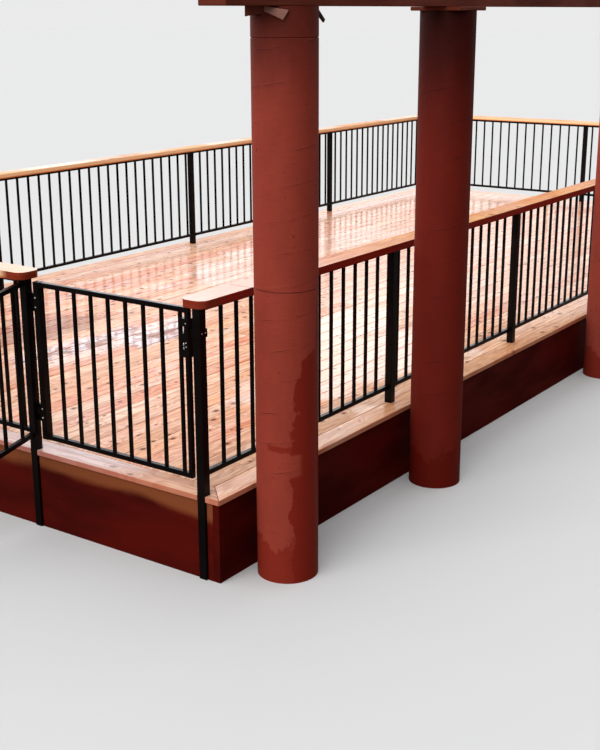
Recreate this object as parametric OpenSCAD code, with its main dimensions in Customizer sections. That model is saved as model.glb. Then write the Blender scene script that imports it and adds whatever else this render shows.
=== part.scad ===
// Railed timber deck with steel guard panels, a steel gate and a row of round columns under a beam.
// Millimetres, +Z up, standing on a level floor. The near side faces -Y and the gate side faces -X.

/* [Deck] */
// Length between the end guards' centre planes
rail_l = 9627; // [7000:1:12000]
// Width between the near and far guards' centre planes
rail_w = 4160; // [3400:1:5200]
// Deck boards past the near, far and end guards' centre planes
lip = 133; // [80:1:145]
// Deck boards past the gate side's centre plane
gate_lip = 37; // [30:1:43]
// Width of a deck board
board_w = 129; // [90:1:190]
// Thickness of a deck board
board_t = 28; // [20:1:50]
// Gap between boards
board_gap = 3.5; // [2:0.5:8]

/* [Frame] */
// Thickness of joists and rim boards
joist_t = 38; // [35:1:60]
// Depth of the joists
joist_h = 184; // [140:1:240]
// Largest distance between joist centres
joist_pitch = 406; // [300:1:610]
// Width of the sleepers that stand on the floor
sleeper = 76; // [60:1:120]
// Height of the sleepers
sleeper_h = 218; // [90:1:300]
// Number of sleepers
sleeper_n = 4; // [3:1:6]
// Distance from the boards' edge in to the rim's face
rim_inset = 12; // [4:1:30]

/* [Guards] */
// Side of a square steel post
post = 44; // [40:1:54]
// Distance of the posts' centres out from the guards' centre planes
post_out = 15; // [5:1:20]
// Clearance of the boards round a post that passes through them
post_clear = 2; // [1:0.5:5]
// Height of the cap rail's underside over the deck
cap_under = 900; // [800:1:1050]
// Width of the cap rail
cap_w = 140; // [110:1:190]
// Thickness of the cap rail
cap_t = 38; // [30:1:50]
// Corner radius at a cap rail's free end
cap_round = 50; // [10:1:50]
// Gap at the cap rails' mitres
cap_gap = 1; // [0.5:0.5:3]
// Overhang of a cap rail past the post at its free end
cap_over = 8; // [5:1:60]
// Side of a panel's top and bottom rails
rail = 25; // [18:1:40]
// Height of a panel's bottom rail over the deck
rail_low = 77; // [50:1:100]
// Side of a square baluster
bal = 16; // [12:1:20]
// Distance between baluster centres that the near and gate sides' bays are divided by
bal_pitch = 114.3; // [100:0.1:125]
// The same for the far guard
far_pitch = 118; // [100:0.1:125]
// The same for the end guard
end_pitch = 110.6; // [100:0.1:125]
// Distance from a post's centre to the first baluster's centre in a near bay
near_start = 93; // [60:1:150]
// Distance from a near bay's last baluster to the next post's centre
near_end = 143; // [60:1:150]
// The first of these distances in the near side's first bay
near_start_1 = 187; // [60:1:200]
// The second of these distances in the near side's first bay
near_end_1 = 133; // [60:1:150]
// The first of these distances in the near side's third bay
near_start_3 = 150; // [60:1:160]
// The second of these distances in the near side's third bay
near_end_3 = 102; // [60:1:150]
// Distance from a post's centre to the nearest baluster's centre on the other sides
bal_end = 90; // [60:1:170]
// The same at the posts of the closed corners
bal_corner = 115; // [60:1:170]
// The same on both sides of the far guard's second post
far_gap = 127.5; // [60:0.5:170]
// The same after the far guard's third post
far_start_3 = 121; // [60:1:170]
// The same before the far guard's fourth post
far_end_3 = 107; // [60:1:170]
// Place of the near guard's second post, from the gate's plane
near_first = 1695; // [1400:1:2000]
// Last bay of the near guard
near_last = 1509.5; // [1200:0.5:1800]
// Place of the far guard's second post, from the gate side's plane
far_first = 2482; // [2200:1:2600]
// Last bay of the far guard
far_last = 2273.5; // [1900:0.5:2500]
// How far the far guard's third post stands past the middle of the second and fourth
far_shift = 20.5; // [0:0.5:100]
// First bay of the end guard, from the near corner
end_first = 2090; // [1700:1:2400]

/* [Gate] */
// Distance of the latch post's centre out from the near guard's centre plane
corner_out = 24; // [10:1:26]
// Centre of the hinge post from the near guard's centre plane
hinge_post_y = 1096; // [1000:1:1300]
// Gap between the hinge post and the gate
hinge_gap = 32; // [32:1:60]
// Gap between the latch post and the gate
latch_gap = 46; // [35:1:60]
// Height of the gate's underside over the deck
gate_low = 63; // [40:1:90]
// Height of the gate's top over the deck
gate_top = 890; // [780:1:890]
// Side of the gate's square hinge stile
hinge_stile = 38; // [25:1:40]
// Width of the gate's latch stile
latch_stile = 22; // [18:1:30]
// Distance from the latch stile to the first baluster's centre
gate_bal_first = 34; // [30:1:60]
// Least distance from the last baluster's centre to the hinge stile
gate_bal_last = 60; // [30:1:80]
// Distance between the gate's baluster centres
gate_pitch = 112.8; // [100:0.1:120]
// Outer radius of a hinge barrel
barrel_r = 9; // [8:0.5:11]
// Radius of a hinge pin
pin_r = 5; // [4:0.5:6]
// Radial clearance of a hinge pin
pin_clear = 0.1; // [0.05:0.05:0.2]
// Length of a hinge barrel
barrel_l = 90; // [60:1:120]
// Height of the lower hinge over the deck
hinge_low = 203; // [150:1:300]
// Height of the upper hinge over the deck
hinge_high = 784; // [600:1:800]
// Height of the latch's bolt over the deck
latch_z = 785; // [600:1:800]
// Radius of the bolt
bolt_r = 6; // [4:0.5:8]
// Radial clearance of the bolt's hole in the keeper
bolt_clear = 1; // [0.5:0.5:2]
// Distance between the drawn bolt and the keeper
bolt_drawn = 6; // [5:1:20]
// Thickness of the latch's plates
latch_t = 4; // [3:0.5:6]
// Height of the keeper
keeper_h = 39; // [25:1:60]

/* [Wing] */
// Length of the raked guard that leads to the gate
wing_l = 1200; // [900:1:1600]
// Fall of the raked guard over its length
wing_fall = 250; // [0:1:300]

/* [Columns] */
// Diameter of a column
column_d = 294; // [220:1:330]
// Distance of the columns' row out from the near guard's centre plane
column_out = 300; // [290:1:400]
// Place of the first column along the deck
column_first = 275; // [200:1:400]
// Distance from the first column to the second
column_gap_1 = 1460; // [1200:1:1800]
// Distance from the second column to the third
column_gap_2 = 2600; // [2200:1:3000]
// Height of the first column's lower form ring over the deck
ring_low = 981; // [600:1:1200]
// Height of its upper form ring over the deck
ring_high = 2067; // [1700:1:2100]
// Width of a form ring's groove
ring_w = 8; // [4:1:20]
// Depth of a form ring's groove
ring_depth = 3; // [1:0.5:8]
// Side of the square plates on the second and third columns
plate_w = 290; // [150:1:300]
// Thickness of those plates
plate_t = 20; // [12:1:50]
// Height of the beam's underside over the deck
beam_under = 2195; // [2150:1:2600]
// Width of the beam
beam_w = 140; // [90:1:200]
// Depth of the beam
beam_h = 286; // [200:1:350]
// Overhang of the beam past the outer columns' centres
beam_over = 490; // [250:1:700]

/* [Hidden] */
$fn = 64;

deck_z = sleeper_h + joist_h + board_t;
frame_z = deck_z - board_t;
x_lo = -gate_lip;
x_hi = rail_l + lip;
y_lo = -lip;
y_hi = rail_w + lip;
mid_x = (x_hi - wing_l - post / 2) / 2;
mid_y = (y_hi - column_out - column_d / 2) / 2;

post_lo = -post_out;
// How far out a closed corner's post stands, so that both sides' rails end at its faces
corner = (post - rail) / 2;
near_bay = (rail_l + corner - near_first - near_last) / 4;
near_x = [post_lo, for (i = [0:4]) near_first + i * near_bay, rail_l + corner];
far_fourth = rail_l + corner - far_last;
far_x = [-corner, far_first, (far_first + far_fourth) / 2 + far_shift, far_fourth, rail_l + corner];
end_y = [-corner, end_first, rail_w + corner];
side_y = [hinge_post_y, (hinge_post_y + rail_w) / 2, rail_w + corner];
near_starts = [near_start_1, near_start, near_start_3, near_start, near_start, near_start];
near_ends = [near_end_1, near_end, near_end_3, near_end, near_end, near_end];
far_starts = [bal_corner, far_gap, far_start_3, bal_end];
far_ends = [far_gap, bal_end, far_end_3, bal_corner];

rail_top = cap_under - rail;
cap_z = deck_z + cap_under;
cap_free = post / 2 + cap_over;
cap_end = cap_w / 2 - cap_gap;
axis_y = hinge_post_y - post / 2 - hinge_gap / 2;
gate_y_hi = hinge_post_y - post / 2 - hinge_gap;
gate_y_lo = -corner_out + post / 2 + latch_gap;
gate_y_in = gate_y_lo + latch_stile;
gate_clear = gate_y_hi - gate_y_in - hinge_stile;
gate_n = floor((gate_clear - gate_bal_first - gate_bal_last) / gate_pitch);
// Lowest and highest edge of each of the latch's arms, from its bolt
latch_arms = [[-130, -93], [-61, -16], [17, 53]];
// The same for the thin rod between the lower two
latch_rod = [-82, -76];

column_x = [column_first, column_first + column_gap_1, column_first + column_gap_1 + column_gap_2];

timber = "sandybrown";
frame_red = "brown";
steel = "dimgray";

// Puts a piece into the frame whose origin is the middle of the footprint.
module place() translate([-mid_x, -mid_y, 0]) children();

// A box given by its lowest and highest corners.
module block(a, b) translate(a) cube(b - a);

// A board lying in the deck's surface, mitred at both ends, along an edge of length l.
module mitred_board(l) {
    linear_extrude(board_t)
        polygon([[board_gap / 2, 0], [l - board_gap / 2, 0],
            [l - board_w - board_gap / 2, board_w], [board_w + board_gap / 2, board_w]]);
}

module deck_field() {
    inset = board_w + board_gap;
    color(timber) place()
        block([x_lo + inset, y_lo + inset, frame_z], [x_hi - inset, y_hi - inset, deck_z]);
}

// What the two gate posts take out of the deck's edge, from the edge in to x and up to z.
module gate_post_notches(x, z) {
    half = post / 2 + post_clear;
    for (y = [-corner_out, hinge_post_y]) block([x_lo - 1, y - half, -1], [x, y + half, z + 1]);
}

module border_boards() {
    l = x_hi - x_lo;
    w = y_hi - y_lo;
    color(timber) place() difference() {
        union() {
            translate([x_lo, y_lo, frame_z]) mitred_board(l);
            translate([x_hi, y_hi, frame_z]) rotate([0, 0, 180]) mitred_board(l);
            translate([x_hi, y_lo, frame_z]) rotate([0, 0, 90]) mitred_board(w);
            translate([x_lo, y_hi, frame_z]) rotate([0, 0, -90]) mitred_board(w);
        }
        gate_post_notches(post_lo + post / 2 + post_clear, deck_z);
    }
}

module joists() {
    first = x_lo + rim_inset + joist_t + joist_pitch - joist_t / 2;
    last = x_hi - rim_inset - 2 * joist_t;
    n = floor((last - first) / joist_pitch);
    color(timber) place()
        for (i = [0:n]) translate([first + i * joist_pitch - joist_t / 2, 0, 0])
            block([0, y_lo + rim_inset + joist_t, sleeper_h],
                [joist_t, y_hi - rim_inset - joist_t, frame_z]);
}

module sleepers() {
    first = y_lo + rim_inset + joist_t + sleeper;
    last = y_hi - rim_inset - joist_t - 2 * sleeper;
    color(timber) place() difference() {
        for (i = [0:sleeper_n - 1]) translate([0, first + (last - first) * i / (sleeper_n - 1), 0])
            block([x_lo + rim_inset + joist_t, 0, 0], [x_hi - rim_inset - joist_t, sleeper, sleeper_h]);
        gate_post_notches(post_lo + post / 2 + post_clear, sleeper_h);
    }
}

// A rim board along X at its outer face y, on the side that s points to.
module long_rim(y, s) {
    y2 = y - s * joist_t;
    color(frame_red) place()
        block([x_lo + rim_inset, min(y, y2), 0], [x_hi - rim_inset, max(y, y2), frame_z]);
}

// A rim board along Y between the long ones, at its outer face x, on the side that s points to.
module short_rim(x, s) {
    x2 = x - s * joist_t;
    color(frame_red) place() difference() {
        block([min(x, x2), y_lo + rim_inset + joist_t, 0],
            [max(x, x2), y_hi - rim_inset - joist_t, frame_z]);
        gate_post_notches(x_lo + rim_inset + joist_t + 1, frame_z);
    }
}

module near_rim() long_rim(y_lo + rim_inset, -1);
module far_rim() long_rim(y_hi - rim_inset, 1);
module gate_rim() short_rim(x_lo + rim_inset, -1);
module end_rim() short_rim(x_hi - rim_inset, 1);

// A post standing on the deck at x, y.
module deck_post(x, y) {
    color(steel) place() translate([x - post / 2, y - post / 2, deck_z]) cube([post, post, cap_under]);
}

// A post of the gate side at x, y that runs through the boards' edge down to the floor.
module floor_post(x, y, top) {
    color(steel) place() translate([x - post / 2, y - post / 2, 0]) cube([post, post, top]);
}

module latch_post() floor_post(post_lo, -corner_out, cap_z);
module hinge_post() floor_post(post_lo, hinge_post_y, cap_z);
module wing_post() floor_post(-wing_l, hinge_post_y, cap_z - wing_fall);
module near_posts() {
    for (i = [1:5]) deck_post(near_x[i], post_lo);
    deck_post(near_x[6], end_y[0]);
}
module far_posts() {
    for (i = [1:3]) deck_post(far_x[i], rail_w + post_out);
    for (i = [0, 4]) deck_post(far_x[i], end_y[2]);
}
module end_posts() deck_post(rail_l + post_out, end_first);
module side_posts() deck_post(post_lo, side_y[1]);

// Places of a bay's balusters, spread evenly from start to its length less end, about a pitch apart.
function bal_places(bay, start, end, pitch) =
    let (n = round((bay - start - end) / pitch))
    [for (i = [0:n]) start + (bay - start - end) * i / n];

// A guard panel along X from 0 to bay, between two posts' centres.
module panel(bay, start, end, pitch) {
    color(steel) {
        for (z = [rail_low, rail_top]) translate([post / 2, -rail / 2, z]) cube([bay - post, rail, rail]);
        for (x = bal_places(bay, start, end, pitch))
            translate([x - bal / 2, -bal / 2, rail_low + rail / 2]) cube([bal, bal, rail_top - rail_low]);
    }
}

module near_panel(i) place() translate([near_x[i - 1], 0, deck_z])
    panel(near_x[i] - near_x[i - 1], near_starts[i - 1], near_ends[i - 1], bal_pitch);
module far_panel(i) place() translate([far_x[i - 1], rail_w, deck_z])
    panel(far_x[i] - far_x[i - 1], far_starts[i - 1], far_ends[i - 1], far_pitch);
module end_panel(i) place() translate([rail_l, end_y[i - 1], deck_z]) rotate([0, 0, 90])
    panel(end_y[i] - end_y[i - 1], i == 1 ? bal_corner : bal_end, i == 1 ? bal_end : bal_corner, end_pitch);
module side_panel(i) place() translate([0, side_y[i - 1], deck_z]) rotate([0, 0, 90])
    panel(side_y[i] - side_y[i - 1], bal_end, i == 1 ? bal_end : bal_corner, bal_pitch);

// A bar of height h from x0 to x1 out from the gate's plane, falling as the wing does.
module raked_bar(x0, x1, z, h) {
    z0 = z - x0 * wing_fall / wing_l;
    z1 = z - x1 * wing_fall / wing_l;
    translate([0, rail / 2, 0]) rotate([90, 0, 0]) linear_extrude(rail)
        polygon([[-x0, z0], [-x1, z1], [-x1, z1 + h], [-x0, z0 + h]]);
}

module wing_panel() {
    color(steel) place() translate([0, hinge_post_y, deck_z]) {
        for (z = [rail_low, rail_top]) raked_bar(post_out + post / 2, wing_l - post / 2, z, rail);
        for (d = bal_places(wing_l - post_out, bal_end, bal_end, bal_pitch)) {
            x = post_out + d;
            translate([-x - bal / 2, -bal / 2, rail_low + rail / 2 - x * wing_fall / wing_l])
                cube([bal, bal, rail_top - rail_low]);
        }
    }
}

// Plan of a cap rail along X from 0 to l, with free rounded ends or mitred ones.
module cap_plan(l, start_free, end_free) {
    h = cap_w / 2;
    a = start_free ? cap_round : 0;
    b = end_free ? cap_round : 0;
    difference() {
        translate([0, -h]) square([l, cap_w]);
        if (start_free) for (s = [-1, 1]) cap_corner(0, s, 1);
        if (end_free) for (s = [-1, 1]) cap_corner(l, s, -1);
        if (!start_free) polygon([[-1, -h - 1], [cap_w + 1, h + 1], [-1, h + 1]]);
        if (!end_free) polygon([[l + 1, -h - 1], [l - cap_w - 1, h + 1], [l + 1, h + 1]]);
    }
}

// What rounding takes off a cap rail's corner, at end x and side s, with the rail lying toward d.
module cap_corner(x, s, d) {
    h = cap_w / 2;
    cx = x + d * cap_round;
    cy = s * (h - cap_round);
    difference() {
        translate([min(x - d, cx), min(s * (h + 1), cy)]) square(cap_round + 1);
        translate([cx, cy]) circle(cap_round);
    }
}

module near_cap() color(timber) place() translate([-post_out - cap_free, 0, cap_z])
    linear_extrude(cap_t) cap_plan(rail_l + post_out + cap_free + cap_end, true, false);
module end_cap() color(timber) place() translate([rail_l, -cap_end, cap_z]) rotate([0, 0, 90])
    linear_extrude(cap_t) cap_plan(rail_w + 2 * cap_end, false, false);
module far_cap() color(timber) place() translate([rail_l + cap_end, rail_w, cap_z]) rotate([0, 0, 180])
    linear_extrude(cap_t) cap_plan(rail_l + 2 * cap_end, false, false);
module side_cap() color(timber) place() translate([0, rail_w + cap_end, cap_z]) rotate([0, 0, -90])
    linear_extrude(cap_t) cap_plan(rail_w + cap_end - hinge_post_y + cap_free, false, true);

module gate_frame() {
    half = rail / 2;
    stile = hinge_stile / 2;
    color(steel) place() translate([0, 0, deck_z]) {
        block([-stile, gate_y_hi - hinge_stile, gate_low], [stile, gate_y_hi, gate_top]);
        block([-half, gate_y_lo, gate_low], [half, gate_y_in, gate_top]);
        for (z = [gate_low, gate_top - rail])
            block([-half, gate_y_in, z], [half, gate_y_hi - hinge_stile, z + rail]);
    }
}

module gate_balusters() {
    color(steel) place() translate([-bal / 2, gate_y_in + gate_bal_first - bal / 2, deck_z + gate_low + rail])
        for (i = [0:gate_n]) translate([0, i * gate_pitch, 0])
            cube([bal, bal, gate_top - gate_low - 2 * rail]);
}

knuckle = barrel_l / 3;
knuckle_gap = 0.5;

module gate_hinges() {
    color(steel) place() for (z = [hinge_low, hinge_high]) translate([0, 0, deck_z + z]) {
        difference() {
            union() {
                translate([0, axis_y, -knuckle / 2]) cylinder(h = knuckle, r = barrel_r);
                block([-barrel_r / 2, gate_y_hi, -knuckle / 2], [barrel_r / 2, axis_y, knuckle / 2]);
            }
            translate([0, axis_y, -knuckle]) cylinder(h = 2 * knuckle, r = pin_r + pin_clear);
        }
    }
}

module post_hinges() {
    color(steel) place() for (z = [hinge_low, hinge_high]) translate([0, 0, deck_z + z]) {
        translate([0, axis_y, -barrel_l / 2]) cylinder(h = barrel_l, r = pin_r);
        for (s = [-1, 1]) translate([0, axis_y, s * (knuckle + knuckle_gap) - knuckle / 2]) {
            cylinder(h = knuckle, r = barrel_r);
            block([-barrel_r / 2, 0, 0], [barrel_r / 2, hinge_gap / 2, knuckle]);
        }
    }
}

// A channel round the latch stile with arms to the first baluster and a bolt toward the post.
module gate_latch() {
    side = rail / 2 + latch_t;
    low = latch_arms[0][0];
    high = latch_arms[2][1];
    color(steel) place() translate([0, gate_y_lo, deck_z + latch_z]) {
        difference() {
            block([-side, -latch_t, low], [side, latch_stile, high]);
            block([-rail / 2, 0, low - 1], [rail / 2, latch_stile + 1, high + 1]);
        }
        for (a = concat(latch_arms, [latch_rod]))
            block([-side, latch_stile, a[0]], [side, latch_stile + gate_bal_first - bal / 2, a[1]]);
        rotate([90, 0, 0]) cylinder(h = latch_gap - latch_t - bolt_drawn, r = bolt_r);
    }
}

// A collar round the latch post with a hole that takes the bolt.
module latch_keeper() {
    half = post / 2;
    outer = half + latch_t;
    h = keeper_h / 2;
    color(steel) place() translate([post_lo, -corner_out, deck_z + latch_z]) difference() {
        block([-outer, -outer, -h], [outer, outer, h]);
        block([-half, -half, -h - 1], [half, half, h + 1]);
        translate([post_out, half - 1, 0]) rotate([-90, 0, 0])
            cylinder(h = latch_t + 2, r = bolt_r + bolt_clear);
    }
}

// A round column with the number i, whose top is a gap below the beam.
module column(i, gap) {
    color(frame_red) place() translate([column_x[i], -column_out, 0])
        cylinder(h = deck_z + beam_under - gap, d = column_d);
}

// A form ring's groove round the first column, at height z over the deck.
module ring_groove(z) {
    r = column_d / 2;
    place() translate([column_x[0], -column_out, deck_z + z]) rotate_extrude()
        polygon([[r - ring_depth, 0], [r + 1, -ring_w / 2], [r + 1, ring_w / 2]]);
}

module left_column() difference() {
    column(0, 0);
    for (z = [ring_low, ring_high]) ring_groove(z);
}
module middle_column() column(1, plate_t);
module right_column() column(2, plate_t);

module bearing_plates() {
    h = plate_w / 2;
    color(frame_red) place() for (i = [1, 2])
        translate([column_x[i], -column_out, deck_z + beam_under - plate_t])
            block([-h, -h, 0], [h, h, plate_t]);
}

module beam() {
    color(frame_red) place()
        block([column_x[0] - beam_over, -column_out - beam_w / 2, deck_z + beam_under],
            [column_x[2] + beam_over, -column_out + beam_w / 2, deck_z + beam_under + beam_h]);
}

deck_field();
border_boards();
joists();
sleepers();
near_rim();
far_rim();
gate_rim();
end_rim();
latch_post();
hinge_post();
wing_post();
near_posts();
far_posts();
end_posts();
side_posts();
near_panel(1);  // near_panel_1
near_panel(2);  // near_panel_2
near_panel(3);  // near_panel_3
near_panel(4);  // near_panel_4
near_panel(5);  // near_panel_5
near_panel(6);  // near_panel_6
far_panel(1);  // far_panel_1
far_panel(2);  // far_panel_2
far_panel(3);  // far_panel_3
far_panel(4);  // far_panel_4
end_panel(1);  // end_panel_1
end_panel(2);  // end_panel_2
side_panel(1);  // side_panel_1
side_panel(2);  // side_panel_2
wing_panel();
near_cap();
far_cap();
end_cap();
side_cap();
gate_frame();
gate_balusters();
gate_hinges();
post_hinges();
gate_latch();
latch_keeper();
left_column();
middle_column();
right_column();
bearing_plates();
beam();
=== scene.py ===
"""Looks of a railed timber deck with a steel gate, a raked wing guard and a beam on round columns.

Metres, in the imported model's own frame: +X along the near guard, +Y to the far guard, +Z up.
"""
import math
import random

import bmesh
import bpy
from mathutils import Matrix, Vector


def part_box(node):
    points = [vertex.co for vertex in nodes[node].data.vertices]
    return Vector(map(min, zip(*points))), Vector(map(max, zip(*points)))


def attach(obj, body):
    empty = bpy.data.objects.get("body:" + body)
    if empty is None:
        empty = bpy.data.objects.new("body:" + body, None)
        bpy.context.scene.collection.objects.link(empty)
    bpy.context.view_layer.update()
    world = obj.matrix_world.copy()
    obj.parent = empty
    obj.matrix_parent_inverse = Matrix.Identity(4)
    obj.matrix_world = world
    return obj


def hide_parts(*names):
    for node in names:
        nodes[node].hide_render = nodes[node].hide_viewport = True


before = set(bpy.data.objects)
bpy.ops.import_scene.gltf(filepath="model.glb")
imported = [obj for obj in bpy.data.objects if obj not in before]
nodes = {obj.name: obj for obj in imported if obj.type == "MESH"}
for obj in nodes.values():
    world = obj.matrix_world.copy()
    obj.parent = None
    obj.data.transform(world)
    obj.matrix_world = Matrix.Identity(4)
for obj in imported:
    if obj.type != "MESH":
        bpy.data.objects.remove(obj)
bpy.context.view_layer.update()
random.seed(7)

# Places taken from the frame
field_low, field_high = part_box("deck_field")
border_low, border_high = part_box("border_boards")
gate_low, gate_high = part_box("gate_frame")
deck_top = field_high.z
gate_x = (gate_low.x + gate_high.x) / 2
near_y = sum(corner.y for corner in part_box("near_panel_1")) / 2

# Boards and joists
BOARD_W = 0.129
BOARD_GAP = 0.0035
BOARD_EASE = 0.0025
BOARD_PITCH = BOARD_W + BOARD_GAP
NARROWEST_BOARD = 0.02
# How far below the deck's top a board may lie, and half the gap where two meet end to end
BOARD_DROP = 0.0006
HALF_BUTT_GAP = 0.0008
JOIST_PITCH = 0.406
JOIST_T = 0.038
# The joists on which the first boards of every three rows end, and how many joists on the next ones do
FIRST_ENDS = (5, 11, 8)
SECOND_ENDS_ON = 9

# Deck screws: how far in from a board's sides, how deep, and how far they stray
SCREW_R = 0.004
SCREW_L = 0.003
SCREW_SIDES = 8
SCREW_INSET = 0.026
SCREW_DEPTH = 0.0012
SCREW_STRAY_X = 0.005
SCREW_STRAY_Y = 0.002

# Steel: half a rail's height and width, the gate's stiles and the hinges' barrels
HALF_RAIL = 0.0125
HINGE_STILE = 0.038
LATCH_STILE = 0.022
BARREL_R = 0.009
HALF_BARREL = 0.045

# Heads of the gate's bolts, screws and pins: radius and rise, and the rings and sides they are made of
BOLT_HEAD = (0.0055, 0.004)
SCREW_HEAD = (0.0042, 0.003)
PIN_END_RISE = 0.006
HEAD_RINGS = 4
HEAD_SIDES = 16
# The bolts from the stile's edge and the hinge's middle, the latch's screws over the deck, and the keeper's
# from its middle
BOLT_INSET = 0.012
BOLT_SPREAD = 0.024
LATCH_SCREWS = (0.705, 0.724, 0.815)
KEEPER_SPREAD = 0.012

# Weld beads: radius on panels and gate, lengths and sides they are made of, and how much they ripple
PANEL_BEAD_R = 0.0022
GATE_BEAD_R = 0.0018
BEAD_LENGTHS = 40
BEAD_SIDES = 6
BEAD_RIPPLE = 0.15


# Shader helpers

class Graph:
    """Adds shader nodes to a material or a world; each call gives back an output socket."""

    def __init__(self, owner):
        owner.use_nodes = True
        self.owner = owner
        self.tree = owner.node_tree

    def put(self, socket, value):
        """Links a socket, or sets its value."""
        if isinstance(value, bpy.types.NodeSocket):
            self.tree.links.new(value, socket)
        else:
            socket.default_value = value

    def add(self, kind, inputs, output=0, **settings):
        """A node of a kind, with its settings and its inputs by name or number."""
        node = self.tree.nodes.new("ShaderNode" + kind)
        for key, value in settings.items():
            setattr(node, key, value)
        for socket, value in inputs.items():
            self.put(node.inputs[socket], value)
        return node.outputs[output]

    def math(self, operation, a, b=0.0):
        return self.add("Math", {0: a, 1: b}, operation=operation)

    def vector(self, x, y, z=0.0):
        return self.add("CombineXYZ", {0: x, 1: y, 2: z})

    def place(self):
        """The x, y and z of the shaded point in the piece's own frame."""
        point = self.add("TexCoord", {}, output="Object")
        split = self.tree.nodes.new("ShaderNodeSeparateXYZ")
        self.put(split.inputs[0], point)
        return split.outputs[0], split.outputs[1], split.outputs[2]

    def facing_up(self):
        """The z of the surface's own normal."""
        return self.add("SeparateXYZ", {0: self.add("TexCoord", {}, output="Normal")}, output=2)

    def noise(self, vector, scale=1.0, detail=2.0, roughness=0.5, dimensions="3D"):
        return self.add("TexNoise", {"Vector": vector, "Scale": scale, "Detail": detail,
                                     "Roughness": roughness}, noise_dimensions=dimensions)

    def streaks(self, along, across, long, wide, detail=2.0):
        """Noise drawn out along a direction, with so many waves a metre along and across."""
        drawn = self.vector(self.math("MULTIPLY", along, long), self.math("MULTIPLY", across, wide))
        return self.noise(drawn, detail=detail, dimensions="2D")

    def cells(self, vector, output="Distance"):
        """The distance to the nearest of scattered points, or that point's own colour."""
        return self.add("TexVoronoi", {"Vector": vector, "Scale": 1.0, "Randomness": 0.9}, output=output,
                        voronoi_dimensions="2D")

    def near(self, value, middle, reach, ease):
        """1 within a reach of a middle, down to 0 over the ease."""
        apart = self.math("ABSOLUTE", self.math("SUBTRACT", value, middle))
        return self.step(apart, reach + ease, reach)

    def step(self, value, low, high, bottom=0.0, top=1.0):
        """A smooth step from bottom to top as value goes from low to high."""
        return self.add("MapRange", {"Value": value, "From Min": low, "From Max": high,
                                     "To Min": bottom, "To Max": top}, interpolation_type="SMOOTHSTEP")

    def between(self, value, low, high):
        """From low to high as value goes from 0 to 1."""
        return self.add("MapRange", {"Value": value, "From Min": 0.0, "From Max": 1.0, "To Min": low,
                                     "To Max": high})

    def mix(self, factor, a, b, blend="MIX"):
        """Mixes two colours."""
        colours = [c if isinstance(c, bpy.types.NodeSocket) else (*c, 1.0) for c in (a, b)]
        return self.add("Mix", {0: factor, 6: colours[0], 7: colours[1]}, output=2, data_type="RGBA",
                        blend_type=blend)

    def bump(self, height, distance, strength):
        return self.add("Bump", {"Height": height, "Distance": distance, "Strength": strength})

    def towards(self, direction, way):
        """How far a direction points along a way, from -1 to 1."""
        return self.add("VectorMath", {0: direction, 1: way}, output="Value", operation="DOT_PRODUCT")

    def finish(self, colour, roughness, normal=None, specular=0.5, metallic=0.0, coat=None):
        """Sets the surface shader's sockets and gives the material."""
        shader = self.tree.nodes["Principled BSDF"]
        self.put(shader.inputs["Base Color"], colour)
        self.put(shader.inputs["Roughness"], roughness)
        if normal is not None:
            self.put(shader.inputs["Normal"], normal)
        shader.inputs["Specular IOR Level"].default_value = specular
        shader.inputs["Metallic"].default_value = metallic
        if coat is not None:
            self.put(shader.inputs["Coat Weight"], coat)
            shader.inputs["Coat Roughness"].default_value = COAT_ROUGHNESS
        return self.owner


def darker(colour, share):
    """A colour with only a share of its light."""
    return tuple(share * part for part in colour)


# Wood

EARLY_WOOD = (0.96, 0.48, 0.245)
LATE_WOOD = (0.52, 0.140, 0.045)
RED_WOOD = (0.56, 0.155, 0.065)
PALE_WOOD = (1.00, 0.62, 0.42)
KNOT = (0.150, 0.036, 0.010)
KNOT_RING = (0.42, 0.11, 0.035)
# How far each board's grain is shifted along and across, and its knots a metre both ways and their sizes
BOARD_SHIFT = (7.31, 3.17)
KNOTS_A_METRE = (5.0, 7.5)
KNOT_SIZES = (0.040, 0.095)
# How closely the bands of growth follow each other
BANDS = 4.0


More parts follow.
